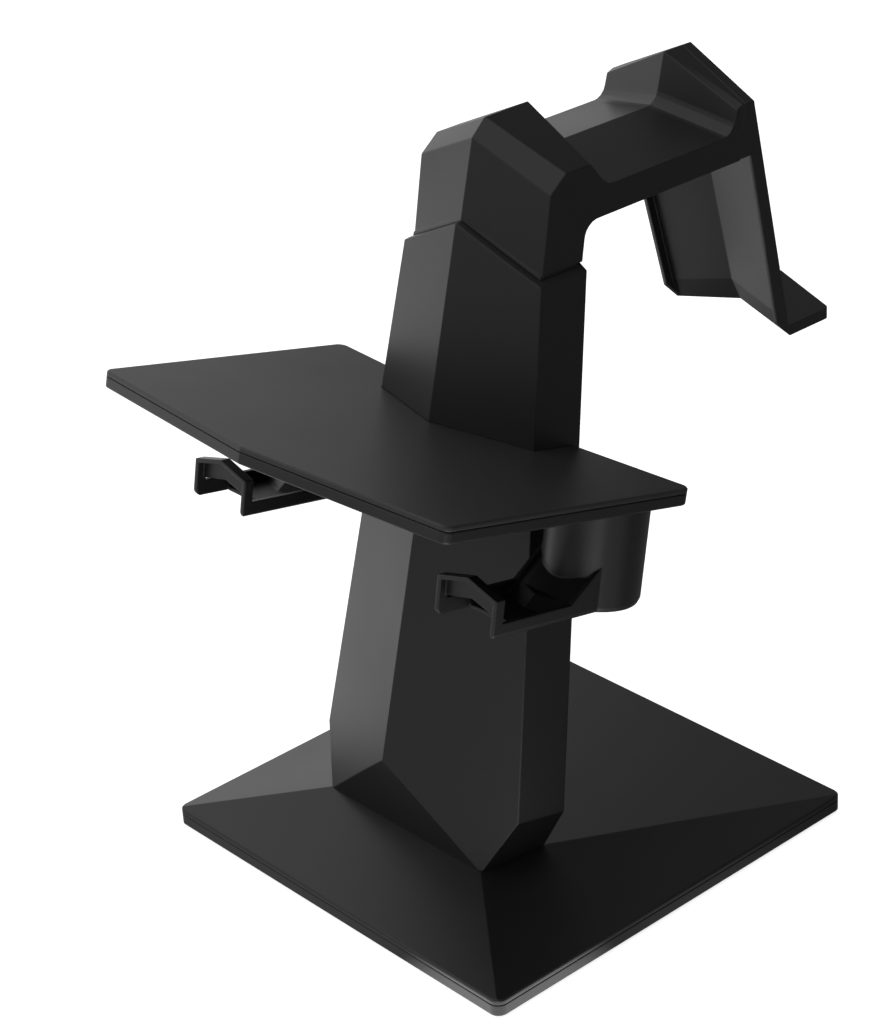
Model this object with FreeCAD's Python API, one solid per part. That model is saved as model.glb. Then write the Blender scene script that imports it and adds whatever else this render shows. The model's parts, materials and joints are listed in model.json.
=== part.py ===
import FreeCAD, Part
import os
from math import atan, cos, degrees, hypot, pi, sin
from FreeCAD import Placement, Rotation, Vector

# Display stand for a head-worn viewer: a weighted square base, a leaning post, a shelf,
# two controller trays under the shelf and an arm with a hanging face plate.
# Millimetres. X runs across, Y along the arm, Z up. The origin is the middle of the
# base, on the surface that the feet stand on.

os.makedirs("parts", exist_ok=True)

# Fits and walls
gap = 0.3
flat_enough = 0.0001
wall = 3.0
edge_bevel = 0.6

# Base
base_side = 240.0
base_corner = 5.4
foot_proud = 1.0
foot_recess = 1.2
foot_diameter = 18.0
foot_inset = 24.0
band_height = 8.9
pan_height = 6.1
groove = 0.5
groove_depth = 1.3
lip_deep = 2.6
crown_rise = 16.8
plate_thick = 2.5
ballast_long = 176.0
ballast_deep = 130.0
ballast_thick = 4.0
ballast_corner = 12.0

# Foot of the post on the base
toe_y = -69.2
toe_half_front = 55.5
toe_half_rear = 59.6
undercut_lean = 0.238
undercut_flare = 0.4514
undercut_spread = 0.1214
foot_slab = 12.0
post_end_wall = 5.0

# Post sections at two heights: width, side face, depth of the vee and middle of the side
low_z = 51.0
low_width = 139.6
low_side = 30.7
low_vee = 28.2
low_mid = -41.5
high_z = 321.0
high_width = 90.0
high_side = 29.1
high_vee = 13.2
high_mid = 12.5
post_wall = 3.6
post_bevel = 2.4
back_cover_thick = 2.4
back_cover_margin = 8.0

# Joint between post and head: two slopes meeting at a ridge
joint_ridge_z = 329.5
joint_slope = 0.48
joint_gap = 1.4
neck_inset = 3.0
spigot_half = 30.0
spigot_deep = 13.0
spigot_long = 26.0
spigot_wall = 2.4

# Arm: side profile at the side face and ridge profile on the middle plane
arm_half = 43.2
arm_wall = 2.6
arm_under_drop = 1.5
block_front_low_y = 22.7
block_front_high_y = 28.0
block_low_drop = 29.5
block_back_side = (-3.0, 6.2)
block_back_ridge = (-17.6, -0.3)
chamfer_low_side_rise = 17.8
chamfer_low_ridge_rise = 37.5
chamfer_high_side_y = 16.5
chamfer_high_ridge_y = 8.1
eave_rise = 25.6
roof_ridge_rise = 45.1
roof_end_side_y = 32.0
roof_end_ridge_y = 35.5
saddle_side_rise = 12.6
saddle_ridge_rise = 20.9
saddle_start_side_y = 42.0
saddle_start_ridge_y = 44.0
saddle_end_side_y = 125.8
saddle_end_ridge_y = 118.7
far_wall_side_y = 129.4
far_wall_side_rise = 24.1
far_eave_y = 133.6
far_ridge_y = 125.2
far_ridge_flat = 2.6
arm_past_end_y = 175.0
seam_top_y = 134.8
seam_bottom_y = 131.0
seam_gap = 0.35
saddle_fillet = 8.0
throat_radius = 9.0
fillet_steps = 4
hump_bevel = 0.8
under_cover_thick = 2.2

# Face plate that hangs from the end of the arm
end_top_y = 141.2
plate_drop = 99.6
plate_bottom_half = 39.0
plate_wall = 3.0
plate_vee = 7.0
plate_back = 7.7
flange_wall = 2.2
plate_low_y = 162.7
plate_cut_high_y = 162.3
plate_cut_high_rise = 2.7
plate_cut_low_y = 171.5
plate_cut_low_drop = 6.5
plate_inner_y = 167.0
plate_cut_vee = (8.0, 5.5)
lip_low_drop = 6.4
lip_top_drop = 0.8
lip_out_y = 201.1
lip_vee = (7.3, 7.5)
plate_corner = 3.0

# Shelf, measured in its own plane, which leans with the post
shelf_z = 228.3
shelf_slope = 0.2525
shelf_front_half = 119.9
shelf_rear_half = 121.4
shelf_front_middle = -151.1
shelf_front_side = -137.0
shelf_rear_middle = -0.1
shelf_rear_side = 13.5
shelf_corner = 4.5
panel_thick = 2.4
panel_bevel = 0.6
frame_thick = 5.3
shelf_groove = 0.5
shelf_rim = 2.6
rib_thick = 1.6
rib_count_across = 4

# Trays and their pillars, in a frame of their own that leans less than the shelf
tray_slope = 0.2
tray_inset = 32.6
tray_half = 19.1
tray_front = 89.0
tray_wall = 2.2
tray_bottom = 60.2
tray_floor = 2.0
tray_rim = 7.8
tray_cutback = 13.0
ramp_side_start = 41.0
ramp_side_rise = 0.885
ramp_sink = 2.4
ramp_ridge_v = -34.0
ramp_ridge_w = -42.5
ramp_fall = 0.33
lip_end_height = 19.1
lip_apex_height = 24.1
band_tall_end = 10.2
band_tall_apex = 10.8
hood_depth = 5.2
web_thick = 1.4
tray_corner = 3.5
pillar_radius = 23.7
pillar_back = 10.0
pillar_foot_round = 3.0
pillar_wall = 2.6

# Screws
screw_shank = 3.0
screw_head = 5.6
screw_head_tall = 2.2
boss_wall = 2.2
long_screw_shank = 4.0
long_screw_head = 7.6

arm_under_z = joint_ridge_z - arm_under_drop
block_low_z = joint_ridge_z - block_low_drop
chamfer_low_side_z = joint_ridge_z + chamfer_low_side_rise
chamfer_low_ridge_z = joint_ridge_z + chamfer_low_ridge_rise
eave_z = joint_ridge_z + eave_rise
roof_ridge_z = joint_ridge_z + roof_ridge_rise
saddle_side_z = joint_ridge_z + saddle_side_rise
saddle_ridge_z = joint_ridge_z + saddle_ridge_rise
far_wall_side_z = joint_ridge_z + far_wall_side_rise
plate_bottom_z = arm_under_z - plate_drop
lip_low_z = plate_bottom_z - lip_low_drop
lip_top_z = plate_bottom_z - lip_top_drop
tray_x = shelf_front_half - tray_inset
far = 3.0 * base_side
lean_angle = degrees(atan(shelf_slope))
tray_angle = degrees(atan(tray_slope))
band_z = foot_proud + band_height
crown_z = band_z + crown_rise
half = base_side / 2.0


# Helpers

def face_of(points):
    return Part.Face(Part.makePolygon(list(points) + [points[0]]))


def prism(points, direction):
    return face_of(points).extrude(direction)


def box(x0, x1, y0, y1, z0, z1):
    return Part.makeBox(x1 - x0, y1 - y0, z1 - z0, Vector(x0, y0, z0))


def cylinder(x, y, z, radius, height):
    return Part.makeCylinder(radius, height, Vector(x, y, z))


def rod(x, y, z, radius, height, sides=10, axis=Vector(0, 0, 1)):
    """A many-sided peg: screws, their holes and the foot pads."""
    loop = [Vector(radius * cos(2.0 * pi * i / sides), radius * sin(2.0 * pi * i / sides), 0)
            for i in range(sides)]
    peg = prism(loop, Vector(0, 0, height))
    peg.Placement = Placement(Vector(x, y, z), Rotation(Vector(0, 0, 1), axis))
    return peg


def ruled(lower, upper):
    """A body between two outlines with as many corners: flat faces where four corners allow it."""
    faces = [face_of(lower), face_of(upper)]
    for i in range(len(lower)):
        j = (i + 1) % len(lower)
        a, b, c, d = lower[i], lower[j], upper[j], upper[i]
        across = (b - a).cross(d - a)
        if across.Length < 1e-9:
            across = (c - b).cross(d - c)
        if abs((c - a).dot(across.normalize())) < flat_enough:
            faces.append(face_of([a, b, c, d]))
        else:
            faces.append(Part.makeRuledSurface(Part.makeLine(a, b), Part.makeLine(d, c)))
    shell = Part.makeShell(faces)
    shell.sewShape()
    solid = Part.makeSolid(shell)
    return solid


def mirrored(shape):
    return shape.mirror(Vector(0, 0, 0), Vector(1, 0, 0))


def both_sides(shape):
    return shape.fuse(mirrored(shape)).removeSplitter()


def fused(shapes):
    result = shapes[0]
    for other in shapes[1:]:
        result = result.fuse(other)
    return result.removeSplitter()


def single(shape):
    return shape.Solids[0] if len(shape.Solids) == 1 else shape


def save(name, shape):
    shape = single(shape)
    shape.exportStep("parts/" + name + ".step")
    print(name, len(shape.Solids), round(shape.Volume / 1000.0, 2), "cm3", shape.isValid())


def edges_where(shape, test):
    return [edge for edge in shape.Edges if test(edge)]


def inset_points(points, inset):
    """The corners of a closed outline moved into it by a wall thickness."""
    n = len(points)
    area = sum(points[i - 1][0] * points[i][1] - points[i][0] * points[i - 1][1] for i in range(n))
    turn = 1.0 if area > 0 else -1.0
    moved = []
    for i in range(n):
        ay, az = points[i][0] - points[i - 1][0], points[i][1] - points[i - 1][1]
        by, bz = points[(i + 1) % n][0] - points[i][0], points[(i + 1) % n][1] - points[i][1]
        la, lb = hypot(ay, az), hypot(by, bz)
        na = (-az / la * turn, ay / la * turn)
        nb = (-bz / lb * turn, by / lb * turn)
        share = inset / (1.0 + na[0] * nb[0] + na[1] * nb[1])
        moved.append((points[i][0] + (na[0] + nb[0]) * share, points[i][1] + (na[1] + nb[1]) * share))
    return moved


def screw(x, y, z, shank, head, head_tall, length, axis=Vector(0, 0, 1)):
    """A hexagon head with its shank, from the top of the head along the axis."""
    head_part = rod(x, y, z, head / 2.0, head_tall, 6, axis)
    end = Vector(x, y, z) + axis * head_tall
    return head_part.fuse(rod(end.x, end.y, end.z, shank / 2.0, length, 10, axis)).removeSplitter()


# Post sections

def section(z, inset=0.0):
    """Half width, back ridge, back corner and front of the post at a height."""
    share = (z - low_z) / (high_z - low_z)
    width = low_width + share * (high_width - low_width)
    side = low_side + share * (high_side - low_side)
    vee = low_vee + share * (high_vee - low_vee)
    middle = low_mid + share * (high_mid - low_mid)
    corner_y = middle - side / 2.0
    front_y = middle + side / 2.0
    slope = vee / (width / 2.0)
    ridge_y = corner_y - vee + inset * hypot(1.0, slope)
    half_width = width / 2.0 - inset
    return half_width, ridge_y, ridge_y + slope * half_width, front_y - inset


def outline(z, inset=0.0):
    w, ridge_y, corner_y, front_y = section(z, inset)
    return [Vector(0, ridge_y, z), Vector(w, corner_y, z), Vector(w, front_y, z),
            Vector(-w, front_y, z), Vector(-w, corner_y, z)]


post_from = 0.0
post_to = joint_ridge_z + 30.5


def post_body(inset=0.0):
    return ruled(outline(post_from, inset), outline(post_to, inset))


def roof_half(ridge_z, slope):
    """Everything above the plane that falls from the ridge line towards +X."""
    profile = [Vector(0, -far, ridge_z), Vector(far, -far, ridge_z - slope * far),
               Vector(far, -far, ridge_z + far), Vector(0, -far, ridge_z + far)]
    return prism(profile, Vector(0, 2.0 * far, 0))


def above_roof(ridge_z, slope):
    half_part = roof_half(ridge_z, slope)
    return half_part.fuse(mirrored(half_part))


# The leaning frames of shelf and trays: x across, v to the rear and down, w out of the shelf

shelf_place = Placement(Vector(0, 0, shelf_z), Rotation(Vector(1, 0, 0), -lean_angle))
tray_place = Placement(Vector(0, 0, shelf_z), Rotation(Vector(1, 0, 0), -tray_angle))


def moved_by(place, shape):
    moved = shape.copy()
    moved.Placement = place.multiply(moved.Placement)
    return moved


def placed(shape):
    return moved_by(shelf_place, shape)


def shelf_slab(top, bottom):
    """A wide slab in the leaning frame, used to cut the post above and below the shelf."""
    return placed(box(-far, far, -far, far, bottom, top))


shelf_bottom = -(panel_thick + shelf_groove + frame_thick)


# Base

def rounded_square(side, corner, z0, z1):
    block = box(-side / 2.0, side / 2.0, -side / 2.0, side / 2.0, z0, z1)
    upright = edges_where(block, lambda e: abs(e.BoundBox.ZLength - (z1 - z0)) < 0.01)
    return block.makeFillet(corner, upright)


def crown(offset=0.0):
    """The four sloping faces of the base as one closed body, moved in by an offset."""
    slope_side = crown_rise / (half - toe_half_front)
    toe_rear_y = section(crown_z)[3]
    slope_rear = slope_side * (half - toe_half_rear) / (half - toe_rear_y)
    rear_y = half - crown_rise / slope_rear
    h = half
    t = toe_half_front
    z0 = band_z - offset
    z1 = crown_z - offset
    low = [Vector(-h, -h, z0), Vector(h, -h, z0), Vector(h, h, z0), Vector(-h, h, z0)]
    top = [Vector(-t, toe_y, z1), Vector(t, toe_y, z1), Vector(t, rear_y, z1), Vector(-t, rear_y, z1)]
    faces = [face_of(low), face_of(top)]
    for i in range(4):
        j = (i + 1) % 4
        faces.append(face_of([low[i], low[j], top[j], top[i]]))
    body = Part.makeSolid(Part.makeShell(faces))
    return body.fuse(box(-h, h, -h, h, -5, z0)).removeSplitter()


boss_spots = [(sx * (half - 12.0), sy * (half - 12.0)) for sx in (-1, 1) for sy in (-1, 1)]
ballast_y = -22.0
floor_z = foot_proud + plate_thick
ballast_top = floor_z + ballast_thick
pan_z = foot_proud + pan_height
cover_low_z = pan_z + groove
post_screw_x = 30.0
post_screw_y = (toe_y + section(crown_z)[3]) / 2.0 - 4.0
post_screw_spots = [(sx * post_screw_x, post_screw_y + sy * 8.0) for sx in (-1, 1) for sy in (-1, 1)]
foot_place = half - foot_inset - foot_diameter / 2.0
foot_spots = {"front_left": (-foot_place, -foot_place), "front_right": (foot_place, -foot_place),
              "rear_left": (-foot_place, foot_place), "rear_right": (foot_place, foot_place),
              "centre": (0.0, 0.0)}


def is_cover_edge(edge):
    """Edges round the top of the band, where the side meets the slopes."""
    b = edge.BoundBox
    reach = max(abs(b.XMin), abs(b.XMax), abs(b.YMin), abs(b.YMax))
    return reach > half - 0.5 and b.ZMin > band_z - 0.3 and b.ZMax < band_z + 4.0


def make_base_cover():
    outer = rounded_square(base_side, base_corner, cover_low_z, crown_z + 5.0).common(crown())
    outer = outer.makeChamfer(edge_bevel, edges_where(outer, is_cover_edge))
    body = outer.cut(crown(wall))
    lip_side = base_side - 2.0 * wall - 2.0 * gap
    lip = box(-lip_side / 2.0, lip_side / 2.0, -lip_side / 2.0, lip_side / 2.0,
              cover_low_z - lip_deep, cover_low_z + 1.2)
    lip_in = lip_side / 2.0 - 1.8
    lip = lip.cut(box(-lip_in, lip_in, -lip_in, lip_in, 0.0, 50.0))
    lip = lip.common(rounded_square(base_side - 2.0 * wall, base_corner, 0.0, 50.0))
    parts = [body, lip]
    for x, y in boss_spots:
        boss = rod(x, y, floor_z, screw_shank / 2.0 + boss_wall, crown_z)
        parts.append(boss.common(crown(wall / 2.0)))
    inner = half - wall - gap - 0.9
    for x in (-60.0, 60.0):
        rib = box(x - rib_thick / 2.0, x + rib_thick / 2.0, -inner, inner, ballast_top + gap, crown_z)
        parts.append(rib.common(crown(wall / 2.0)))
    rib = box(-inner, inner, 46.0 - rib_thick / 2.0, 46.0 + rib_thick / 2.0, ballast_top + gap, crown_z)
    parts.append(rib.common(crown(wall / 2.0)))
    body = fused(parts)
    for x, y in boss_spots:
        body = body.cut(rod(x, y, foot_proud, screw_shank / 2.0, plate_thick + 5.0))
    for x, y in post_screw_spots:
        body = body.cut(rod(x, y, 0, long_screw_shank / 2.0, crown_z + 20.0))
    return body


def screw_pocket(x, y):
    hole = rod(x, y, 0, screw_shank / 2.0, 10.0)
    return hole.fuse(rod(x, y, 0, screw_head / 2.0 + gap, recess_z, 12))


def make_base_pan():
    pan = rounded_square(base_side, base_corner, foot_proud, pan_z)
    low = edges_where(pan, lambda e: e.BoundBox.ZMax < foot_proud + 0.01)
    pan = pan.makeChamfer(edge_bevel, low)
    inner = half - wall
    step = rounded_square(base_side - 2.0 * groove_depth, base_corner - groove_depth, foot_proud + 1.0, cover_low_z)
    pan = pan.fuse(step)
    pan = pan.cut(box(-inner, inner, -inner, inner, floor_z, 50.0))
    for x, y in boss_spots:
        pan = pan.cut(screw_pocket(x, y))
    for x, y in foot_spots.values():
        pan = pan.cut(rod(x, y, 0, foot_diameter / 2.0 + gap / 2.0, foot_proud + foot_recess, foot_sides))
    return pan


def make_ballast():
    x, y, c = ballast_long / 2.0, ballast_deep / 2.0, ballast_corner
    corners = [(x - c, -y), (x, -y + c), (x, y - c), (x - c, y), (-x + c, y), (-x, y - c), (-x, -y + c), (-x + c, -y)]
    plate = prism([Vector(cx, cy + ballast_y, floor_z) for cx, cy in corners], Vector(0, 0, ballast_thick))
    return plate


foot_sides = 20
recess_z = foot_proud + screw_head_tall / 2.0
save("base_pan", make_base_pan())
save("base_cover", make_base_cover())
save("ballast_plate", make_ballast())
for place, spot in foot_spots.items():
    save("foot_pad_" + place, rod(spot[0], spot[1], 0, foot_diameter / 2.0, foot_proud + foot_recess, foot_sides))
screws = [screw(x, y, foot_proud + 0.1, screw_shank, screw_head, recess_z - foot_proud - 0.1, 5.4)
          for x, y in boss_spots]
save("base_screws", Part.makeCompound(screws))
head_z = crown_z - wall - screw_head_tall
screws = [screw(x, y, head_z, long_screw_shank, long_screw_head, screw_head_tall, wall + foot_slab - 2.0)
          for x, y in post_screw_spots]
save("post_foot_screws", Part.makeCompound(screws))


# Post

def toe_region(inset=0.0):
    """Space left for the foot of the post by the three undercuts, as one convex body."""
    def side_at(y, z):
        return toe_half_front + undercut_spread * (y - toe_y) + undercut_flare * (z - crown_z) - inset
    y_far = half
    loops = []
    for z in (-half / 2.0, shelf_z):
        y_near = toe_y - undercut_lean * (z - crown_z) + inset
        loops.append([Vector(side_at(y_near, z), y_near, z), Vector(side_at(y_far, z), y_far, z),
                      Vector(-side_at(y_far, z), y_far, z), Vector(-side_at(y_near, z), y_near, z)])
    body = ruled(loops[0], loops[1])
    return body.fuse(box(-far, far, -far, far, shelf_z - gap, far)).removeSplitter()


def post_cover_blank(z0, z1, margin, inner, outer):
    """A panel in the hidden front of the post, between two heights and two depths."""
    loops = []
    for z in (z0, z1):
        w, ridge_y, corner_y, front_y = section(z)
        x = w - margin
        loops.append([Vector(x, front_y - inner, z), Vector(x, front_y - outer, z),
                      Vector(-x, front_y - outer, z), Vector(-x, front_y - inner, z)])
    return ruled(loops[0], loops[1])


lower_cover_from = crown_z + foot_slab + 14.0
lower_cover_to = shelf_z + shelf_bottom - 26.0
upper_cover_from = shelf_z + 20.0
upper_cover_to = joint_ridge_z - joint_slope * low_width / 2.0 - spigot_long + 8.0
below_shelf = shelf_slab(shelf_bottom, -far)
above_shelf = shelf_slab(far, -panel_thick)
clamp_spots = [(sx * 24.0, -12.0) for sx in (-1, 1)]


def post_shell_opening(body, z0, z1):
    recess = post_cover_blank(z0, z1, back_cover_margin, back_cover_thick + gap, -1.0)
    opening = post_cover_blank(z0 + 4.0, z1 - 4.0, back_cover_margin + 4.0, post_wall + 8.0, -1.0)
    return body.cut(recess).cut(opening)


def make_lower_post():
    outer = post_body().common(toe_region())
    outer = outer.cut(crown()).common(below_shelf)
    inner = post_body(post_wall).common(toe_region(post_wall))
    inner = inner.common(shelf_slab(shelf_bottom - post_end_wall, -far))
    inner = inner.cut(box(-far, far, -far, far, -far, crown_z + foot_slab))
    body = outer.cut(inner)
    body = post_shell_opening(body, lower_cover_from, lower_cover_to)
    for x, y in post_screw_spots:
        body = body.cut(rod(x, y, 0, long_screw_shank / 2.0, crown_z + foot_slab - 2.0))
    for x, v in clamp_spots:
        body = body.cut(placed(rod(x, v, -40.0, long_screw_shank / 2.0, 60.0)))
    return body


def gable_tops():
    """The post top: inner body above the bevel, built as two halves and mirrored."""
    loops = []
    for inset, drop in ((0.0, post_bevel), (post_bevel * 0.8, 0.0)):
        loop = []
        for share in (0, 1, 2, 3):
            z = joint_ridge_z
            for _ in range(8):
                w, ridge_y, corner_y, front_y = section(z, inset)
                x = (0.0, w, w, 0.0)[share]
                z = joint_ridge_z - drop - joint_slope * x
            w, ridge_y, corner_y, front_y = section(z, inset)
            y = (ridge_y, corner_y, front_y, front_y)[share]
            loop.append(Vector((0.0, w, w, 0.0)[share], y, z))
        loops.append(loop)
    return both_sides(ruled(loops[0], loops[1]))


def make_upper_post():
    outer = post_body().common(above_shelf)
    outer = outer.cut(above_roof(joint_ridge_z - post_bevel, joint_slope))
    outer = outer.fuse(gable_tops()).removeSplitter()
    inner = post_body(post_wall).common(shelf_slab(far, -panel_thick + 9.0))
    inner = inner.cut(above_roof(joint_ridge_z - 4.0, joint_slope))
    body = outer.cut(inner)
    body = post_shell_opening(body, upper_cover_from, upper_cover_to)
    for x, v in clamp_spots:
        body = body.cut(placed(rod(x, v, -20.0, long_screw_shank / 2.0, 24.0)))
    return body


def post_front_frame(z):
    """A point on the hidden front of the post and the direction straight into it."""
    y = section(z)[3]
    slope = (section(z + 1.0)[3] - y)
    return y, Vector(0, -1, slope).normalize()


neck_screw_z = joint_ridge_z - joint_slope * spigot_half - 17.0
neck_screw_spots = [(sx * 18.0, neck_screw_z) for sx in (-1, 1)]


def neck_screw_body(x, z, clearance=0.0):
    y, into = post_front_frame(z)
    start = Vector(x, y, z) - into * (0.0 if clearance == 0.0 else 1.0)
    extra = 0.0 if clearance == 0.0 else 1.0
    sides = 6 if clearance == 0.0 else 12
    head_part = rod(start.x, start.y, start.z, screw_head / 2.0 + clearance, 1.6 + extra, sides, into)
    shank_part = rod(x, y, z, screw_shank / 2.0, post_wall + spigot_wall + 2.0, 10, into)
    return head_part.fuse(shank_part).removeSplitter()


def spigot(inset=0.0, z_low=None, z_high=None):
    """The tongue of the arm inside the post, its face against the post's front wall."""
    z0 = joint_ridge_z - joint_slope * spigot_half - spigot_long if z_low is None else z_low
    z1 = joint_ridge_z + 14.0 if z_high is None else z_high
    loops = []
    for z in (z0, z1):
        front_y = section(z)[3] - post_wall
        x = spigot_half - inset
        loops.append([Vector(x, front_y - inset, z), Vector(x, front_y - spigot_deep + inset, z),
                      Vector(-x, front_y - spigot_deep + inset, z), Vector(-x, front_y - inset, z)])
    return ruled(loops[0], loops[1])


def make_post_cover(z0, z1):
    """The panel with a clip at its top and one at its foot."""
    inner = back_cover_thick + gap
    panel = post_cover_blank(z0 + gap, z1 - gap, back_cover_margin + gap, inner, gap)
    for z in (z0 + 4.0 + gap, z1 - 6.4 - gap):
        panel = panel.fuse(post_cover_blank(z, z + 2.4, back_cover_margin + 16.0, inner + 5.0, inner - 0.5))
    return panel.removeSplitter()


save("lower_post_shell", make_lower_post())
save("lower_post_cover", make_post_cover(lower_cover_from, lower_cover_to))
upper_post = make_upper_post().cut(spigot(-gap / 2.0))
for x, z in neck_screw_spots:
    upper_post = upper_post.cut(neck_screw_body(x, z, gap / 2.0))
save("upper_post_shell", upper_post)
save("upper_post_cover", make_post_cover(upper_cover_from, upper_cover_to))
save("neck_screws", Part.makeCompound([neck_screw_body(x, z) for x, z in neck_screw_spots]))


# Shelf

def shelf_body(inset, top, bottom, corner):
    """The shelf moved in by an inset: straight sides, an arrow at the front and the rear."""
    outline = [(0.0, shelf_front_middle), (shelf_front_half, shelf_front_side), (shelf_rear_half, shelf_rear_side),
               (0.0, shelf_rear_middle), (-shelf_rear_half, shelf_rear_side), (-shelf_front_half, shelf_front_side)]
    corners = [Vector(x, v, bottom) for x, v in inset_points(outline, inset)]
    body = prism(corners, Vector(0, 0, top - bottom))
    upright = edges_where(body, lambda e: e.BoundBox.ZLength > abs(top - bottom) - 0.01 and
                          abs(e.BoundBox.Center.x) > 1.0)
    return body.makeFillet(corner, upright)


def in_shelf_frame(shape):
    moved = shape.copy()
    moved.Placement = shelf_place.inverse().multiply(moved.Placement)
    return moved


frame_top = -(panel_thick + shelf_groove)
post_in_shelf = in_shelf_frame(post_body())
post_hole = in_shelf_frame(post_body(-gap)).common(box(-far, far, -far, far, shelf_bottom, 5.0))
tray_centres = (-tray_x, tray_x)
tray_screw_ring = [(sx * 15.0, -pillar_back) for sx in (-1, 1)]


def make_shelf_frame():
    body = shelf_body(0.0, frame_top, shelf_bottom, shelf_corner)
    body = body.makeChamfer(edge_bevel, edges_where(body, lambda e: e.BoundBox.ZMax < shelf_bottom + 0.01))
    step = shelf_body(shelf_rim * 0.6, -panel_thick, shelf_bottom + 1.0, shelf_corner - shelf_rim * 0.6)
    body = body.fuse(step)
    hollow = shelf_body(shelf_rim * 1.6, 10.0, shelf_bottom + 1.8, 0.3)
    body = body.cut(hollow)
    parts = [body, post_in_shelf.common(box(-far, far, -far, far, shelf_bottom, -panel_thick))]
    inside = shelf_body(shelf_rim, 10.0, shelf_bottom + 0.5, 1.5)
    for i in range(rib_count_across):
        x = shelf_front_half * (2.0 * (i + 1) / (rib_count_across + 1) - 1.0)
        rib = box(x - rib_thick / 2.0, x + rib_thick / 2.0, -far, far, shelf_bottom + 0.5, -panel_thick)
        parts.append(rib.common(inside))
    rib = box(-far, far, -80.0 - rib_thick / 2.0, -80.0 + rib_thick / 2.0, shelf_bottom + 0.5, -panel_thick)
    parts.append(rib.common(inside))
    for centre in tray_centres:
        parts.append(rod(centre, -pillar_back, shelf_bottom, pillar_radius - 2.0, -panel_thick - shelf_bottom, 10))
    body = fused(parts)
    for x, v in clamp_spots:
        body = body.cut(rod(x, v, -40.0, long_screw_shank / 2.0, 60.0))
    for centre in tray_centres:
        for x, v in tray_screw_ring:
            body = body.cut(rod(centre + x, v, -40.0, screw_shank / 2.0, 60.0))
            body = body.cut(rod(centre + x, v, -panel_thick - screw_head_tall, screw_head / 2.0, 20.0, 6))
    return placed(body.removeSplitter())


def make_shelf_panel():
    body = shelf_body(0.0, 0.0, -panel_thick, shelf_corner)
    body = body.makeChamfer(panel_bevel, edges_where(body, lambda e: e.BoundBox.ZMin > -0.01))
    return placed(body.cut(post_hole))


save("shelf_frame", make_shelf_frame())
save("shelf_panel", make_shelf_panel())
screws = []
for x, v in clamp_spots:
    z = shelf_bottom - post_end_wall - screw_head_tall
    length = post_end_wall - shelf_bottom + 4.0
    screws.append(placed(screw(x, v, z, long_screw_shank, long_screw_head, screw_head_tall, length)))
save("shelf_clamp_screws", Part.makeCompound(screws))


# Trays

tray_low = -tray_bottom
rim_w = tray_low + tray_rim
under_shelf = moved_by(tray_place.inverse().multiply(shelf_place), box(-far, far, -far, far, -far, shelf_bottom))


def ramp_space(top=30.0):
    """The body under the ramp: two planes that meet in an arrow and rise to the pillar."""
    loops = []
    slope = ramp_side_rise
    for x in (0.0, tray_half):
        def height(v, x=x):
            return ramp_ridge_w + slope * (v - ramp_ridge_v) - ramp_fall * x
        foot_v = ramp_ridge_v + (tray_low - ramp_ridge_w + ramp_fall * x) / slope
        rear_v = -pillar_back
        loops.append([Vector(x, foot_v, tray_low), Vector(x, rear_v, height(rear_v)), Vector(x, rear_v, tray_low)])
    return both_sides(ruled(loops[0], loops[1]))


def side_wall_space():
    """The outline of the tray's side walls: level rims that rise beside the ramp."""
    rear_w = rim_w + ramp_side_rise * (ramp_side_start - pillar_back)
    points = [(-tray_front, tray_low), (-tray_front, rim_w), (-ramp_side_start, rim_w),
              (-pillar_back, rear_w), (-pillar_back, tray_low)]
    return prism([Vector(-tray_half, v, w) for v, w in points], Vector(2.0 * tray_half, 0, 0))


def gable_strip(front, back, end_top, apex_top, end_low, apex_low):
    """An arrow-shaped strip across the tray, between two depths."""
    points = [Vector(-tray_half, front, end_low), Vector(-tray_half, front, end_top), Vector(0, front, apex_top),
              Vector(tray_half, front, end_top), Vector(tray_half, front, end_low), Vector(0, front, apex_low)]
    return prism(points, Vector(0, back - front, 0))


def turned_pillar():
    """The round pillar, its foot rounded by two short cones."""
    r = pillar_foot_round
    profile = [Vector(0, 0, tray_low)]
    for k in range(3):
        turn = pi / 4.0 * k
        profile.append(Vector(pillar_radius - r + r * sin(turn), 0, tray_low + r - r * cos(turn)))
    profile += [Vector(pillar_radius, 0, 20.0), Vector(0, 0, 20.0)]
    solid = face_of(profile).revolve(Vector(0, 0, 0), Vector(0, 0, 1), 360)
    solid.translate(Vector(0, -pillar_back, 0))
    return solid


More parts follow.
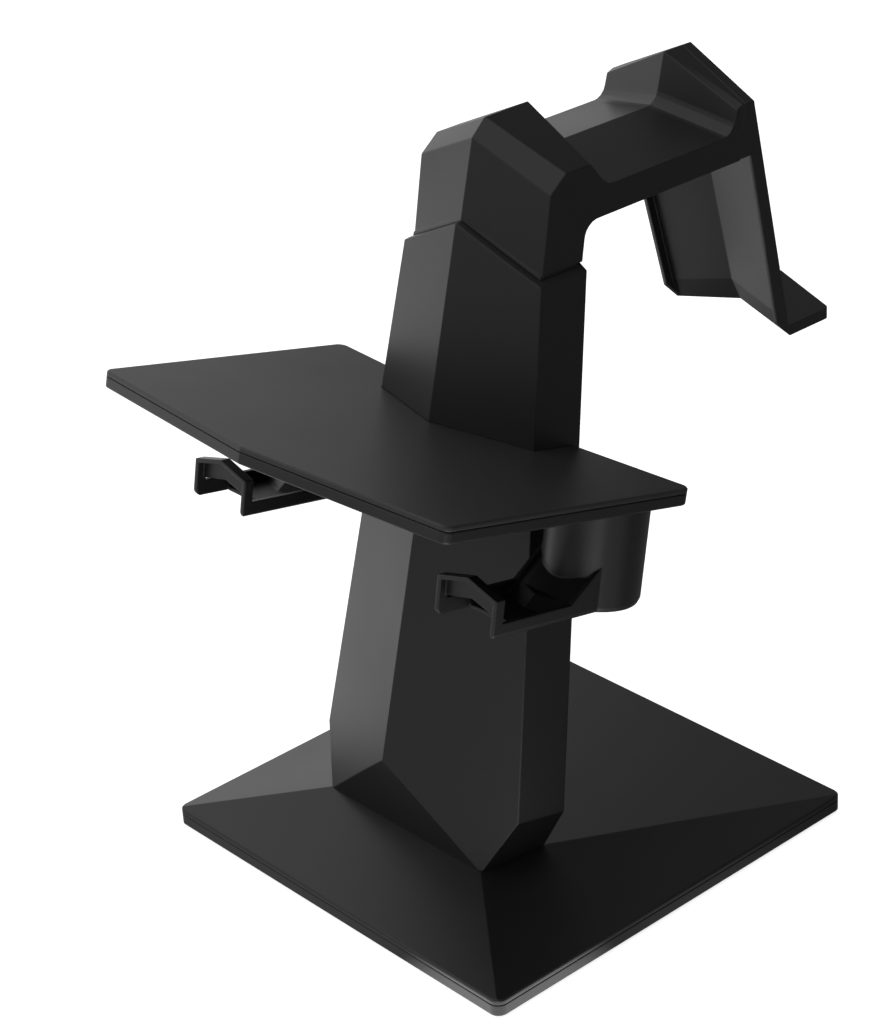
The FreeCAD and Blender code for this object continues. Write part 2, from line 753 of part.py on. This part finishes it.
def make_tray():
    t = tray_half
    front = -tray_front
    end_top = tray_low + lip_end_height
    apex_top = tray_low + lip_apex_height
    body = side_wall_space().fuse(box(-t, t, front, front + hood_depth, tray_low, end_top)).removeSplitter()
    long_edges = edges_where(body, lambda e: e.BoundBox.ZMax < tray_low + 0.01 and
                             (abs(abs(e.BoundBox.Center.x) - t) < 0.01 or e.BoundBox.YMax < front + 0.01))
    body = body.makeFillet(tray_corner, long_edges)
    pocket = box(-t + tray_wall, t - tray_wall, front - 5.0, -pillar_back, tray_low + tray_floor, apex_top + 20.0)
    pocket = pocket.cut(ramp_space())
    cutback = box(-t + tray_wall, t - tray_wall, front - 5.0, front + tray_cutback,
                  tray_low - 5.0, tray_low + tray_floor + 1.0)
    body = body.cut(pocket).cut(cutback)
    hood = gable_strip(front, front + hood_depth, end_top, apex_top, end_top - tray_wall, apex_top - tray_wall)
    web_back = front + hood_depth
    web = gable_strip(web_back - web_thick, web_back, end_top, apex_top,
                      end_top - band_tall_end, apex_top - band_tall_apex)
    body = fused([body, hood, web])
    pillar = turned_pillar()
    body = body.fuse(pillar.common(under_shelf))
    inside = rod(0, -pillar_back, tray_low + 24.0, pillar_radius - pillar_wall, tray_bottom, 20)
    bosses = []
    for x, v in tray_screw_ring:
        bosses.append(box(x - 4.0, x + 4.0, v - 4.0, v + 4.0, tray_low + 20.0, 20.0))
    body = body.cut(inside.cut(fused(bosses)))
    in_tray_frame = tray_place.inverse().multiply(shelf_place)
    for x, v in tray_screw_ring:
        hole = rod(x, v, shelf_bottom - 8.0, screw_shank / 2.0, 20.0)
        body = body.cut(moved_by(in_tray_frame, hole))
    return body.removeSplitter()


tray = make_tray()
for name, centre in (("tray_left", -tray_x), ("tray_right", tray_x)):
    moved = tray.copy()
    moved.translate(Vector(centre, 0, 0))
    save(name, moved_by(tray_place, moved))
screws = []
for centre in tray_centres:
    for x, v in tray_screw_ring:
        shank_len = -panel_thick - screw_head_tall - (shelf_bottom - 8.0)
        screws.append(placed(screw(centre + x, v, -panel_thick, screw_shank, screw_head, screw_head_tall,
                                   shank_len, Vector(0, 0, -1))))
save("tray_screws", Part.makeCompound(screws))


# Arm

def stepped(points):
    """A closed outline whose rounded corners are cut in short steps: (y, z, radius, steps)."""
    n = len(points)
    result = []
    for i in range(n):
        y, z, radius, steps = points[i]
        if radius <= 0.0:
            result.append((y, z))
            continue
        ay, az = points[i - 1][0] - y, points[i - 1][1] - z
        by, bz = points[(i + 1) % n][0] - y, points[(i + 1) % n][1] - z
        la, lb = hypot(ay, az), hypot(by, bz)
        a = (ay / la, az / la)
        b = (by / lb, bz / lb)
        cos_half = hypot(a[0] + b[0], a[1] + b[1]) / 2.0
        sin_half = hypot(a[0] - b[0], a[1] - b[1]) / 2.0
        reach = radius * cos_half / sin_half
        middle = ((a[0] + b[0]) / (2.0 * cos_half), (a[1] + b[1]) / (2.0 * cos_half))
        centre = (y + middle[0] * radius / sin_half, z + middle[1] * radius / sin_half)
        for k in range(steps + 1):
            share = k / steps
            py = y + (1.0 - share) * a[0] * reach + share * b[0] * reach - centre[0]
            pz = z + (1.0 - share) * a[1] * reach + share * b[1] * reach - centre[1]
            grow = radius / hypot(py, pz)
            result.append((centre[0] + py * grow, centre[1] + pz * grow))
    return result


def arm_profile(at_side):
    """Outline of the arm in a plane across X: at its side face or on the middle plane."""
    k = 0 if at_side else 1
    back = (block_back_side, block_back_ridge)[k]
    low_top = (chamfer_low_side_z, chamfer_low_ridge_z)[k]
    high_y = (chamfer_high_side_y, chamfer_high_ridge_y)[k]
    top = (eave_z, roof_ridge_z)[k]
    dip = (saddle_side_z, saddle_ridge_z)[k]
    roof_end = (roof_end_side_y, roof_end_ridge_y)[k]
    start = (saddle_start_side_y, saddle_start_ridge_y)[k]
    stop = (saddle_end_side_y, saddle_end_ridge_y)[k]
    far_wall = ((far_wall_side_y, far_wall_side_z), (far_ridge_y, roof_ridge_z))[k]
    far_top_y = (far_eave_y, far_ridge_y + far_ridge_flat)[k]
    f = saddle_fillet
    r = hump_bevel
    return [(back[0], block_low_z, 0.0, 0), (back[1], low_top, r, 1), (high_y, top, r, 1), (roof_end, top, r, 1),
            (start, dip, f, fillet_steps), (stop, dip, f, fillet_steps), (far_wall[0], far_wall[1], 0.0, 0),
            (far_top_y, top, 0.0, 0), (arm_past_end_y, top, 0.0, 0), (arm_past_end_y, arm_under_z, 0.0, 0),
            (block_front_high_y, arm_under_z, throat_radius, fillet_steps + 2),
            (block_front_low_y, block_low_z, 0.0, 0)]


def arm_solid():
    middle = [Vector(0.0, y, z) for y, z in stepped(arm_profile(False))]
    side = [Vector(arm_half, y, z) for y, z in stepped(arm_profile(True))]
    return both_sides(ruled(middle, side))


def arm_hollow():
    """The space inside the arm's walls, with sharp corners."""
    loops = []
    for at_side in (False, True):
        corners = inset_points([(corner[0], corner[1]) for corner in arm_profile(at_side)], arm_wall)
        x = arm_half - arm_wall if at_side else 0.0
        loops.append([Vector(x, y, z) for y, z in corners])
    return both_sides(ruled(loops[0], loops[1]))


seam_slope = (seam_bottom_y - seam_top_y) / (arm_under_z - eave_z)


def behind_seam(shift=0.0):
    """The space on the post's side of the seam between arm and end cap."""
    def seam_y(z):
        return seam_top_y + seam_slope * (z - eave_z) + shift
    low = arm_under_z - arm_half
    high = roof_ridge_z + arm_half
    points = [Vector(-half, seam_y(low), low), Vector(-half, seam_y(high), high),
              Vector(-half, -far, high), Vector(-half, -far, low)]
    return prism(points, Vector(2.0 * half, 0, 0))


def below_joint(shift):
    """The space under the two slopes that part the post from the head."""
    blank = box(-far, far, -far, section(joint_ridge_z)[3] + 1.0, 0, far)
    return blank.cut(above_roof(joint_ridge_z + shift, joint_slope))


def make_arm():
    outer = arm_solid().common(behind_seam()).cut(below_joint(joint_gap))
    inner = arm_hollow().common(behind_seam(-end_wall)).cut(below_joint(joint_gap + 4.0))
    under = box(-cover_half, cover_half, under_cover_from, under_cover_to,
                arm_under_z - 5.0, arm_under_z + arm_wall + 1.0)
    body = outer.cut(inner).cut(under)
    tongue = box(-tongue_half, tongue_half, tongue_from, tongue_to, arm_under_z + arm_wall,
                 arm_under_z + arm_wall + tongue_tall)
    body = fused([body, tongue])
    for x, y in cap_screw_spots:
        body = body.cut(rod(x, y, arm_under_z, screw_shank / 2.0, arm_wall + tongue_tall - 1.5))
    neck = post_body(neck_inset).common(below_joint(joint_gap + 0.5))
    neck = neck.common(above_roof(joint_ridge_z, joint_slope))
    neck = neck.common(box(-far, far, -far, block_front_low_y, 0, far))
    body = fused([body, neck, spigot(0.0, None, joint_ridge_z + 3.0)])
    z_low = joint_ridge_z - joint_slope * spigot_half - spigot_long - 1.0
    body = body.cut(spigot(spigot_wall, z_low, joint_ridge_z - 12.0))
    for x, z in neck_screw_spots:
        body = body.cut(neck_screw_body(x, z))
    return body


under_cover_from = block_front_high_y + throat_radius + 2.0
under_cover_to = seam_bottom_y - 6.0
cover_half = arm_half - 5.0
end_wall = 3.0
tongue_half = 31.0
tongue_tall = 9.5
tongue_from = seam_bottom_y - 4.5
tongue_to = seam_bottom_y + 9.5
cap_screw_spots = [(sx * 22.0, seam_bottom_y + 5.5) for sx in (-1, 1)]
clip_thick = 2.0
clip_half = 12.0


def make_under_cover():
    """The panel under the arm, held by a hooked clip at its front and at its rear."""
    y0 = under_cover_from + gap
    y1 = under_cover_to - gap
    panel = box(-cover_half + gap, cover_half - gap, y0, y1, arm_under_z + gap, arm_under_z + gap + under_cover_thick)
    hook_z = arm_under_z + arm_wall + gap
    parts = [panel]
    for y, out in ((y0, -1.0), (y1, 1.0)):
        inner_y = y - out * clip_thick
        parts.append(box(-clip_half, clip_half, min(y, inner_y), max(y, inner_y), arm_under_z + 1.0, hook_z + 2.0))
        hook_y = y + out * 1.2
        parts.append(box(-clip_half, clip_half, min(hook_y, inner_y), max(hook_y, inner_y), hook_z, hook_z + 2.0))
    return fused(parts)


# Face plate

def plate_half(z):
    share = (z - plate_bottom_z) / (eave_z - plate_bottom_z)
    return plate_bottom_half + share * (arm_half - plate_bottom_half)


def plate_y(z):
    """Front edge of the side flanges at a height."""
    share = (z - plate_bottom_z) / (eave_z - plate_bottom_z)
    return plate_low_y + share * (end_top_y - plate_back - plate_low_y)


plate_top = roof_ridge_z + arm_half


def plate_loft(section_at, z_low, z_high):
    return both_sides(ruled(section_at(z_low), section_at(z_high)))


def rear_section(inset):
    def at(z):
        y = plate_y(z) + plate_back - inset
        w = plate_half(z) - inset
        return [Vector(0, -20, z), Vector(w, -20, z), Vector(w, y, z), Vector(0, y + plate_vee, z)]
    return at


def hook_section(z):
    """Half of the plate's section: a shallow vee with a flange along the side."""
    y = plate_y(z)
    w = plate_half(z)
    inner = y + plate_back - plate_wall
    return [Vector(0, inner + plate_vee, z), Vector(w - flange_wall, inner, z), Vector(w - flange_wall, y, z),
            Vector(w, y, z), Vector(w, y + plate_back, z), Vector(0, y + plate_back + plate_vee, z)]


def roof_cut(drop):
    slope = (roof_ridge_z - eave_z) / arm_half
    return above_roof(roof_ridge_z - drop, slope)


def below_plate(share_points, y_shift, z_shift):
    """The space under an arrow-shaped cut through the lower end of the plate."""
    loops = []
    for x, share in ((0.0, 1.0), (plate_bottom_half * 1.2, -0.2)):
        loops.append([Vector(x, y + share * y_shift, z + share * z_shift) for y, z in share_points])
    return both_sides(ruled(loops[0], loops[1]))


def make_visor_plate():
    hook = plate_loft(hook_section, lip_low_z - 4.0, arm_under_z + 1.0)
    cap = plate_loft(rear_section(0.0), arm_under_z, plate_top).cut(roof_cut(0.0))
    cap = cap.cut(behind_seam(seam_gap))
    hollow = plate_loft(rear_section(arm_wall), arm_under_z + arm_wall, plate_top).cut(roof_cut(arm_wall * 1.1))
    cap = cap.cut(hollow)
    inside_y = plate_y(lip_top_z) + plate_back - plate_wall
    loops = []
    for x, share in ((0.0, 1.0), (plate_half(lip_low_z), 0.0)):
        y = share * lip_vee[0]
        z = share * lip_vee[1]
        loops.append([Vector(x, inside_y + y, lip_low_z + z), Vector(x, lip_out_y + y, lip_low_z + z),
                      Vector(x, lip_out_y + y, lip_top_z + z), Vector(x, inside_y + y, lip_top_z + z)])
    lip = both_sides(ruled(loops[0], loops[1]))
    corners = edges_where(lip, lambda e: abs(e.BoundBox.Center.x) > 1.0 and e.BoundBox.XLength < 0.01 and
                          e.BoundBox.YMin > lip_out_y - 0.01 and e.BoundBox.ZLength > 1.0)
    lip = lip.makeFillet(plate_corner, corners)
    body = fused([hook, lip])
    hy, hz = plate_cut_high_y, plate_bottom_z + plate_cut_high_rise
    ly, lz = plate_cut_low_y, plate_bottom_z - plate_cut_low_drop
    oblique = [(2.0 * hy - ly, 2.0 * hz - lz), (ly, lz), (ly + 20.0, lz - 20.0), (ly - 40.0, lz - 20.0)]
    body = body.cut(below_plate(oblique, plate_cut_vee[0], plate_cut_vee[1]))
    inner = [(2.0 * plate_inner_y - ly, 2.0 * hz - lz), (ly, lz), (ly, lz - 20.0), (ly - 40.0, lz - 20.0)]
    between = plate_bottom_half - flange_wall
    channel = below_plate(inner, plate_cut_vee[0], plate_cut_vee[1] - 2.0)
    body = body.cut(channel.common(box(-between, between, 0, far, 0, far)))
    level = [(0.0, lip_low_z), (far, lip_low_z), (far, -far), (0.0, -far)]
    body = body.cut(below_plate(level, 0.0, lip_vee[1]))
    body = fused([body, cap])
    for x, y in cap_screw_spots:
        body = body.cut(rod(x, y, arm_under_z - 1.0, screw_shank / 2.0, 6.0))
        body = body.cut(rod(x, y, arm_under_z - 1.0, screw_head / 2.0, 2.4, 6))
    return body


save("visor_plate", make_visor_plate())
save("arm_shell", make_arm())
save("arm_underside_cover", make_under_cover())
screws = [screw(x, y, arm_under_z + 0.2, screw_shank, screw_head, 1.2, arm_wall + tongue_tall - 3.2)
          for x, y in cap_screw_spots]
save("visor_screws", Part.makeCompound(screws))
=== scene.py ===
import json
import math

import bpy
from mathutils import Matrix, Vector


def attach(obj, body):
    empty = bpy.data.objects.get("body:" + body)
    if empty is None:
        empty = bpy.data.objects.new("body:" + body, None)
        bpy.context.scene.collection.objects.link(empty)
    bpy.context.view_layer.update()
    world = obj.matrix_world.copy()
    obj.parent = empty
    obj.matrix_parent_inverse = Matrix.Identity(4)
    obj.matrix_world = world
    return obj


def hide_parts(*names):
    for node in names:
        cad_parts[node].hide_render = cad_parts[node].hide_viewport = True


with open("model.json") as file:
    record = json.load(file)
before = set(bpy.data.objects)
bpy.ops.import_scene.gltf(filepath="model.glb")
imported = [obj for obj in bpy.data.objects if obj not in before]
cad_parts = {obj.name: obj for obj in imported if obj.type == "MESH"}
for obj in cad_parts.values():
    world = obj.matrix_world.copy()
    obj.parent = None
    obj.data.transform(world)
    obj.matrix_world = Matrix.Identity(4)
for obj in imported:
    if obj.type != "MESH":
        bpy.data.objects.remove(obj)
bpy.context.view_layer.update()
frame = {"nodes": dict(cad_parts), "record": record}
print("frame loaded")

white = (1.0, 1.0, 1.0, 1.0)


# Camera: a three-quarter view from above, at the place and turn that the stand's edges give

cameraSpec = {
    "place": (0.9202, -0.8230, 0.8163),
    "azimuth": 49.195,
    "elevation": 27.375,
    "roll": -3.494,
    "lens": 101.13,
    "sensorHeight": 36.0,
    "farthest": 50.0,
}


def makeCamera(spec):
    azimuth = math.radians(spec["azimuth"])
    elevation = math.radians(spec["elevation"])
    roll = math.radians(spec["roll"])
    back = Vector((
        math.sin(azimuth) * math.cos(elevation),
        -math.cos(azimuth) * math.cos(elevation),
        math.sin(elevation),
    ))
    flatRight = Vector((0.0, 0.0, 1.0)).cross(back).normalized()
    flatUp = back.cross(flatRight)
    right = math.cos(roll) * flatRight + math.sin(roll) * flatUp
    upward = -math.sin(roll) * flatRight + math.cos(roll) * flatUp
    data = bpy.data.cameras.new("photoCamera")
    data.sensor_fit = "VERTICAL"
    data.sensor_height = spec["sensorHeight"]
    data.lens = spec["lens"]
    data.clip_end = spec["farthest"]
    camera = bpy.data.objects.new("photoCamera", data)
    turn = Matrix((right, upward, back)).transposed()
    camera.matrix_world = Matrix.Translation(spec["place"]) @ turn.to_4x4()
    bpy.context.scene.collection.objects.link(camera)
    bpy.context.scene.camera = camera


makeCamera(cameraSpec)


# Node helpers: a setting is a socket's value where the node has such a socket

def newMaterial(name):
    material = bpy.data.materials.new(name)
    material.use_nodes = True
    return material, material.node_tree.nodes, material.node_tree.links


def addNode(nodes, kind, **settings):
    node = nodes.new(kind)
    for key, value in settings.items():
        if key in node.inputs:
            node.inputs[key].default_value = value
        else:
            setattr(node, key, value)
    return node


def addNoise(nodes, links, scale, detail):
    place = addNode(nodes, "ShaderNodeTexCoord")
    noise = addNode(nodes, "ShaderNodeTexNoise", Scale=scale, Detail=detail)
    links.new(place.outputs["Object"], noise.inputs["Vector"])
    return noise.outputs["Fac"]


def addRange(nodes, links, value, low, high):
    spread = addNode(nodes, "ShaderNodeMapRange", **{"To Min": low, "To Max": high})
    links.new(value, spread.inputs["Value"])
    return spread


def tintShader(nodes, links, noise, spec, shader):
    colour = addNode(nodes, "ShaderNodeMixRGB", Color1=spec["colour"], Color2=spec["paler"])
    links.new(noise, colour.inputs["Fac"])
    links.new(colour.outputs["Color"], shader.inputs["Base Color"])


# Satin black moulded plastic: fine grain in the bump and a little unevenness in the sheen

plasticSpec = {
    "colour": (0.0075, 0.0075, 0.008, 1.0),
    "paler": (0.0095, 0.0095, 0.01, 1.0),
    "roughness": (0.33, 0.42),
    "cloudScale": 18.0,
    "cloudDetail": 3.0,
    "grainScale": 2600.0,
    "grainDetail": 2.0,
    "grainStrength": 0.05,
    "grainDepth": 0.0002,
    "edgeRadius": 0.0011,     # edges look a little rounded, as moulded ones are
    "edgeSamples": 6,
}


# The shelf's top is a little rougher, and its colour is painted paler: painted light on the upward face
# of the same black plastic

paintedLightShelfSpec = dict(
    plasticSpec,
    # painted light: the top panel's colour is paler than the rest of the black plastic
    colour=(0.020, 0.020, 0.0206, 1.0),
    paler=(0.024, 0.024, 0.0246, 1.0),
    roughness=(0.41, 0.48),
)


def makePlastic(name, spec):
    material, nodes, links = newMaterial(name)
    shader = nodes["Principled BSDF"]
    cloud = addNoise(nodes, links, spec["cloudScale"], spec["cloudDetail"])
    grain = addNoise(nodes, links, spec["grainScale"], spec["grainDetail"])
    tintShader(nodes, links, cloud, spec, shader)
    sheen = addRange(nodes, links, cloud, *spec["roughness"])
    bump = addNode(nodes, "ShaderNodeBump", Strength=spec["grainStrength"], Distance=spec["grainDepth"])
    edge = addNode(nodes, "ShaderNodeBevel", samples=spec["edgeSamples"], Radius=spec["edgeRadius"])
    links.new(grain, bump.inputs["Height"])
    links.new(edge.outputs["Normal"], bump.inputs["Normal"])
    links.new(sheen.outputs["Result"], shader.inputs["Roughness"])
    links.new(bump.outputs["Normal"], shader.inputs["Normal"])
    return material


# Matte rubber of the foot pads

rubberSpec = {
    "colour": (0.014, 0.014, 0.014, 1.0),
    "paler": (0.03, 0.03, 0.03, 1.0),
    "roughness": 0.85,
    "speckScale": 900.0,
    "speckDetail": 4.0,
    "speckStrength": 0.3,
    "speckDepth": 0.0002,
}


def makeRubber(name, spec):
    material, nodes, links = newMaterial(name)
    shader = nodes["Principled BSDF"]
    shader.inputs["Roughness"].default_value = spec["roughness"]
    speck = addNoise(nodes, links, spec["speckScale"], spec["speckDetail"])
    tintShader(nodes, links, speck, spec, shader)
    bump = addNode(nodes, "ShaderNodeBump", Strength=spec["speckStrength"], Distance=spec["speckDepth"])
    links.new(speck, bump.inputs["Height"])
    links.new(bump.outputs["Normal"], shader.inputs["Normal"])
    return material


# Zinc-plated screws and the plain steel of the weight

steelSpec = {
    "colour": (0.5, 0.5, 0.51, 1.0),
    "paler": (0.62, 0.62, 0.63, 1.0),
    "roughness": (0.28, 0.45),
    "cloudScale": 420.0,
    "cloudDetail": 5.0,
}


def makeSteel(name, spec):
    material, nodes, links = newMaterial(name)
    shader = nodes["Principled BSDF"]
    shader.inputs["Metallic"].default_value = 1.0
    cloud = addNoise(nodes, links, spec["cloudScale"], spec["cloudDetail"])
    tintShader(nodes, links, cloud, spec, shader)
    sheen = addRange(nodes, links, cloud, *spec["roughness"])
    links.new(sheen.outputs["Result"], shader.inputs["Roughness"])
    return material


steel = makeSteel("platedSteel", steelSpec)
finishes = {
    "black_plastic": makePlastic("satinBlackPlastic", plasticSpec),
    "foot_rubber": makeRubber("blackRubber", rubberSpec),
    "ballast_steel": steel,
    "screw_steel": steel,
}

for part in frame["record"]["subparts"]:
    node = frame["nodes"][part["node"]]
    node.data.materials.clear()
    node.data.materials.append(finishes[part["material_slot"]])
# the shelf's top panel gets the plastic with painted light in its colour
frame["nodes"]["shelf_panel"].data.materials[0] = makePlastic("paintedLightShelfPlastic", paintedLightShelfSpec)
print("materials set")


# Three mouldings have an edge that lies elsewhere than on their solids. Each is a copy of its
# solid with that edge moved.

copySpec = {
    "mergeWithin": 0.00001,
    "smoothBelow": 14.0,      # degrees between two faces of one rounded surface
}


def copySolid(name, node, nudge, spec):
    piece = bpy.data.objects.new(name, frame["nodes"][node].data.copy())
    bpy.context.scene.collection.objects.link(piece)
    bpy.ops.object.select_all(action="DESELECT")
    piece.select_set(True)
    bpy.context.view_layer.objects.active = piece
    bpy.ops.object.mode_set(mode="EDIT")
    bpy.ops.mesh.select_all(action="SELECT")
    bpy.ops.mesh.remove_doubles(threshold=spec["mergeWithin"])
    bpy.ops.object.mode_set(mode="OBJECT")
    for vertex in piece.data.vertices:
        vertex.co += nudge(vertex.co)
    bpy.ops.mesh.customdata_custom_splitnormals_clear()
    bpy.ops.object.shade_smooth_by_angle(angle=math.radians(spec["smoothBelow"]))
    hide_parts(node)
    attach(piece, "root")


# Top of the post: the ledge under the head is nearly level, so it lies in the head's shade

postTopSpec = {
    "ridge": 0.3295,          # height of the sloped top on the middle plane
    "fall": 0.48,             # its fall to each side
    "bevelDrop": 0.0024,      # the solid's bevel starts this far below the top
    "findWithin": 0.00006,    # reach for the points of that edge
    "rise": 0.0020,           # the edge is moved up by this
    "leanMiddle": 0.2585,     # and back as it rises, less so at its sides
    "leanSide": 0.203,
    "taper": 0.0919,          # and inward at its sides, as the post narrows
    "half": 0.0465,
}


def postTopNudge(point):
    spec = postTopSpec
    under = spec["ridge"] - spec["fall"] * abs(point.x) - point.z
    if abs(under - spec["bevelDrop"]) > spec["findWithin"]:
        return Vector((0.0, 0.0, 0.0))
    share = min(abs(point.x) / spec["half"], 1.0)
    lean = spec["leanMiddle"] + (spec["leanSide"] - spec["leanMiddle"]) * share
    inward = -math.copysign(spec["taper"] * share, point.x)
    return Vector((inward, lean, 1.0)) * spec["rise"]


# Trays: the floor starts further back behind the front band

trayFloorSpec = {
    "frontY": (-0.0870, -0.0855),       # the floor's front edge lies between these
    "below": 0.1875,                    # and under this height
    "back": (0.0, 0.0069, -0.0014),     # its move, along the sloped floor
}


def trayFloorNudge(point):
    spec = trayFloorSpec
    low, high = spec["frontY"]
    if low < point.y < high and point.z < spec["below"]:
        return Vector(spec["back"])
    return Vector((0.0, 0.0, 0.0))


copySolid("postTopShell", "upper_post_shell", postTopNudge, copySpec)
for side in ("left", "right"):
    copySolid(side + "Tray", "tray_" + side, trayFloorNudge, copySpec)
print("mouldings shaped")


# Light: soft boxes round the stand. Each lies toward a direction, is even out to its core angle
# and gone at its reach, in degrees. Where boxes overlap, the brighter one counts.

lightSpec = {
    "dim": 0.14,
    "seen": 1.0,              # the backdrop as the camera sees it
    "boxes": {
        "left": {"toward": (-0.99, 0.0, 0.12), "core": 32.0, "reach": 51.0, "level": 1.02},
        "front": {"toward": (-0.2, -0.98, -0.1), "core": 35.0, "reach": 62.0, "level": 0.45},
        "top": {"toward": (-0.3, -0.35, 0.88), "core": 30.0, "reach": 54.0, "level": 0.85},
        "below": {"toward": (0.0, 0.0, -1.0), "core": 46.0, "reach": 60.0, "level": 0.48},
        "right": {"toward": (0.97, -0.1, -0.3), "core": 8.0, "reach": 23.0, "level": 0.5},
        "nearSide": {"toward": (0.66, -0.62, -0.42), "core": 10.0, "reach": 27.0, "level": 2.2},
    },
}


def addBoxes(nodes, links, direction, spec):
    level = None
    for box in spec["boxes"].values():
        match = addNode(nodes, "ShaderNodeVectorMath", operation="DOT_PRODUCT")
        match.inputs[1].default_value = Vector(box["toward"]).normalized()
        links.new(direction, match.inputs[0])
        fade = addRange(nodes, links, match.outputs["Value"], spec["dim"], box["level"])
        fade.interpolation_type = "SMOOTHSTEP"
        fade.inputs["From Min"].default_value = math.cos(math.radians(box["reach"]))
        fade.inputs["From Max"].default_value = math.cos(math.radians(box["core"]))
        if level is None:
            level = fade.outputs["Result"]
            continue
        brighter = addNode(nodes, "ShaderNodeMath", operation="MAXIMUM")
        links.new(level, brighter.inputs[0])
        links.new(fade.outputs["Result"], brighter.inputs[1])
        level = brighter.outputs["Value"]
    return level


# Floor: plain and pale. It is lit evenly where it is seen, with a faint shadow at the base,
# and sends the boxes' light on where the plastic mirrors it.

floorSpec = {
    "size": 8.0,
    "colour": (0.9, 0.9, 0.9, 1.0),
    "roughness": 0.9,
    "glow": 0.82,
    "eye": (0.0, 0.0, 0.1),   # the boxes' light is spread over the floor as seen from here
}


def makeFloor(spec):
    bpy.ops.object.select_all(action="DESELECT")
    bpy.ops.mesh.primitive_plane_add(size=spec["size"], location=(0.0, 0.0, 0.0))
    floor = bpy.context.object
    floor.name = "studioFloor"
    material, nodes, links = newMaterial("studioFloor")
    shader = nodes["Principled BSDF"]
    shader.inputs["Base Color"].default_value = spec["colour"]
    shader.inputs["Roughness"].default_value = spec["roughness"]
    shader.inputs["Emission Color"].default_value = white
    shader.inputs["Emission Strength"].default_value = spec["glow"]
    place = addNode(nodes, "ShaderNodeTexCoord")
    outward = addNode(nodes, "ShaderNodeVectorMath", operation="SUBTRACT")
    outward.inputs[1].default_value = spec["eye"]
    direction = addNode(nodes, "ShaderNodeVectorMath", operation="NORMALIZE")
    glow = addNode(nodes, "ShaderNodeEmission")
    path = addNode(nodes, "ShaderNodeLightPath")
    mix = addNode(nodes, "ShaderNodeMixShader")
    links.new(place.outputs["Object"], outward.inputs[0])
    links.new(outward.outputs["Vector"], direction.inputs[0])
    links.new(addBoxes(nodes, links, direction.outputs["Vector"], lightSpec), glow.inputs["Strength"])
    links.new(path.outputs["Is Camera Ray"], mix.inputs["Fac"])
    links.new(glow.outputs["Emission"], mix.inputs[1])
    links.new(shader.outputs["BSDF"], mix.inputs[2])
    links.new(mix.outputs["Shader"], nodes["Material Output"].inputs["Surface"])
    material.cycles.emission_sampling = "NONE"
    floor.data.materials.append(material)


makeFloor(floorSpec)
print("floor laid")


def makeWorld(spec):
    world = bpy.data.worlds.new("studioWorld")
    world.use_nodes = True
    bpy.context.scene.world = world
    nodes = world.node_tree.nodes
    links = world.node_tree.links
    background = nodes["Background"]
    background.inputs["Color"].default_value = white
    place = addNode(nodes, "ShaderNodeTexCoord")
    path = addNode(nodes, "ShaderNodeLightPath")
    strength = addNode(nodes, "ShaderNodeMix", data_type="FLOAT")
    links.new(path.outputs["Is Camera Ray"], strength.inputs[0])
    links.new(addBoxes(nodes, links, place.outputs["Generated"], spec), strength.inputs[2])
    strength.inputs[3].default_value = spec["seen"]
    links.new(strength.outputs[0], background.inputs["Strength"])


makeWorld(lightSpec)
bpy.context.scene.view_settings.view_transform = "Standard"
print("light set")
